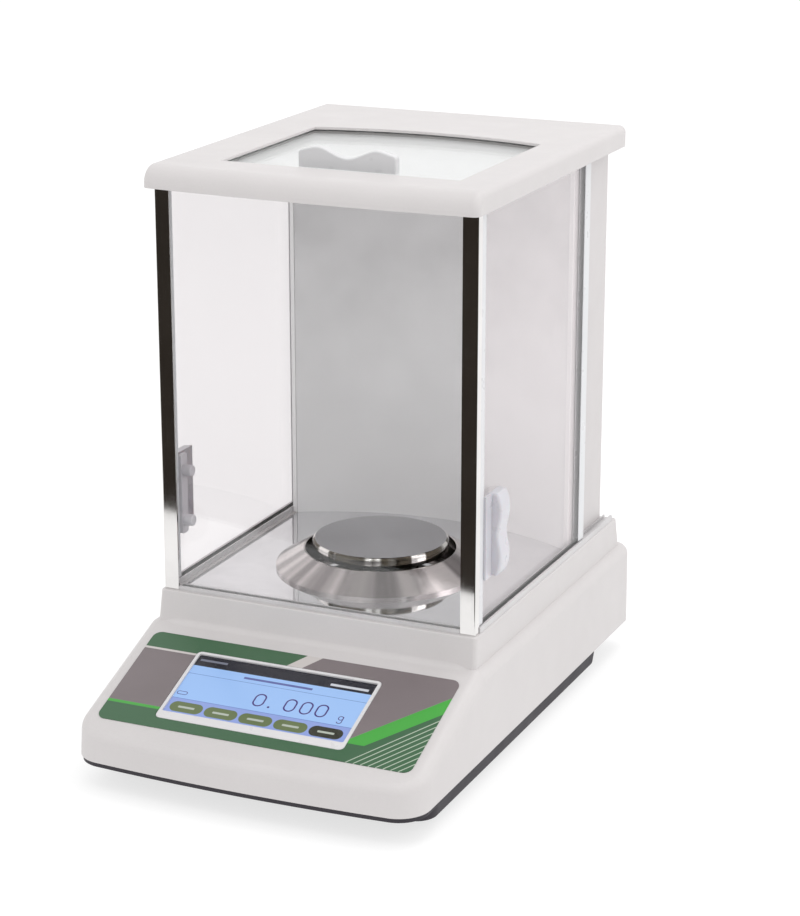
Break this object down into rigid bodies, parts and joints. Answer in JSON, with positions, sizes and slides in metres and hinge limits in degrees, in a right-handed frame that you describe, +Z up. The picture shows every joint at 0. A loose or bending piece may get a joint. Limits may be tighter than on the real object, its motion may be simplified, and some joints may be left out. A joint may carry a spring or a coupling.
{
  "type": "analytical balance",
  "caption": "Laboratory balance: sloping display panel, glass draft chamber with sliding doors and top, round pan in a conical ring, levelling feet.",
  "frame": {"origin": "on the standing surface under the middle of the case", "axes": "+Z up, +X to the user's right, +Y from the display at the front to the column at the back"},
  "size_m": [0.208, 0.337, 0.3402],
  "materials": {
    "case_white": "fine-grained moulded ABS, warm white",
    "grip_white": "smooth moulded, cool white",
    "base_grey": "fine-grained dark grey",
    "brass_insert": "turned",
    "screw_steel": "zinc plated",
    "foot_rubber": "matt",
    "thumbwheel": "knurled, moulded over a steel stud",
    "mirror_floor": "mirror-polished stainless sheet",
    "polished_steel": "polished stainless angle",
    "pane_glass": "clear float glass, ground edges",
    "rail_white": "satin anodised",
    "door_profile": "milky end profile",
    "handle_plate": "light grey",
    "back_sheet": "fine brushed, satin",
    "level_body": "black",
    "vial_glass": "yellow-green liquid under a domed glass",
    "cell_aluminium": "machined",
    "magnet_steel": "nickel plated",
    "coil_copper": "enamelled copper winding",
    "stem_steel": "turned stainless",
    "circuit_board": "green solder mask",
    "overlay_print": "printed film, grey and green fields",
    "bezel_white": "smooth white",
    "display_clear": "back-lit display behind a clear touch film",
    "lcd_metal": "folded frame",
    "connector_plate": "satin",
    "connector_black": "black",
    "port_metal": "stamped shell",
    "pan_steel": "satin top, polished rim",
    "ring_steel": "spun, fine circular brushing"
  },
  "bodies": {
    "base": {"top_housing": "case_white", "base_tub": "base_grey", "foot_inserts": "brass_insert", "base_screws": "screw_steel", "front_feet": "foot_rubber", "chamber_floor": "mirror_floor", "front_left_post": "polished_steel", "front_right_post": "polished_steel", "front_glass": "pane_glass", "front_glass_channel": "rail_white", "left_floor_rail": "rail_white", "right_floor_rail": "rail_white", "left_roof_rail": "rail_white", "right_roof_rail": "rail_white", "roof_frame": "case_white", "roof_liner": "case_white", "rear_column": "case_white", "back_panel": "back_sheet", "level_housing": "level_body", "level_vial": "vial_glass", "cell_frame": "cell_aluminium", "magnet_pot": "magnet_steel", "guide_plates": "cell_aluminium", "position_sensor": "circuit_board", "control_overlay": "overlay_print", "display_bezel": "bezel_white", "display_window": "display_clear", "lcd_module": "lcd_metal", "display_board": "circuit_board", "main_board": "circuit_board", "connector_plate": "connector_plate", "power_inlet": "connector_black", "serial_port": "port_metal"},
    "left_door": {"left_door_glass": "pane_glass", "left_door_runner": "rail_white", "left_door_front_profile": "door_profile", "left_door_back_profile": "door_profile", "left_door_grip": "grip_white", "left_door_plate": "handle_plate", "left_door_screws": "handle_plate"},
    "right_door": {"right_door_glass": "pane_glass", "right_door_runner": "rail_white", "right_door_front_profile": "door_profile", "right_door_back_profile": "door_profile", "right_door_grip": "grip_white", "right_door_plate": "handle_plate", "right_door_screws": "handle_plate"},
    "top_door": {"top_door_glass": "pane_glass", "top_door_handle": "grip_white"},
    "load_receiver": {"pan_stem": "stem_steel", "load_hanger": "cell_aluminium"},
    "lever": {"balance_lever": "cell_aluminium", "force_coil": "coil_copper"},
    "pan": {"weighing_pan": "pan_steel"},
    "ring": {"draft_ring": "ring_steel"},
    "left_foot": {"left_foot_pad": "foot_rubber"},
    "right_foot": {"right_foot_pad": "foot_rubber"},
    "left_screw": {"left_foot_screw": "thumbwheel"},
    "right_screw": {"right_foot_screw": "thumbwheel"}
  },
  "joints": [
    {"name": "left_door_slide", "type": "slide", "parent": "base", "child": "left_door", "axis": [0, 1, 0], "range_m": [0, 0.125]},
    {"name": "right_door_slide", "type": "slide", "parent": "base", "child": "right_door", "axis": [0, 1, 0], "range_m": [0, 0.125]},
    {"name": "top_door_slide", "type": "slide", "parent": "base", "child": "top_door", "axis": [0, 1, 0], "range_m": [0, 0.095]},
    {"name": "load_deflection", "type": "slide", "parent": "base", "child": "load_receiver", "axis": [0, 0, -1], "range_m": [0, 0.0003], "stiffness_N_per_m": 20000, "springref_m": -0.0002},
    {"name": "lever_pivot", "type": "hinge", "parent": "base", "child": "lever", "pos_m": [0, -0.004, 0.053], "axis": [1, 0, 0], "range_deg": [-0.1, 0.9]},
    {"name": "pan_lift", "type": "slide", "parent": "load_receiver", "child": "pan", "axis": [0, 0, 1], "range_m": [0, 0.04]},
    {"name": "ring_lift", "type": "slide", "parent": "base", "child": "ring", "axis": [0, 0, 1], "range_m": [0, 0.03]},
    {"name": "left_foot_travel", "type": "slide", "parent": "base", "child": "left_foot", "axis": [0, 0, -1], "range_m": [0, 0.008]},
    {"name": "left_foot_turn", "type": "hinge", "parent": "left_foot", "child": "left_screw", "pos_m": [-0.078, 0.075, 0.007], "axis": [0, 0, 1], "range_deg": [0, 2304]},
    {"name": "right_foot_travel", "type": "slide", "parent": "base", "child": "right_foot", "axis": [0, 0, -1], "range_m": [0, 0.008]},
    {"name": "right_foot_turn", "type": "hinge", "parent": "right_foot", "child": "right_screw", "pos_m": [0.078, 0.075, 0.007], "axis": [0, 0, 1], "range_deg": [0, 2304]}
  ],
  "couplings": [
    {"joint": "lever_pivot", "follows": "load_deflection", "rad_per_m": 43.103},
    {"joint": "left_foot_turn", "follows": "left_foot_travel", "rad_per_m": 5026.5},
    {"joint": "right_foot_turn", "follows": "right_foot_travel", "rad_per_m": 5026.5}
  ]
}
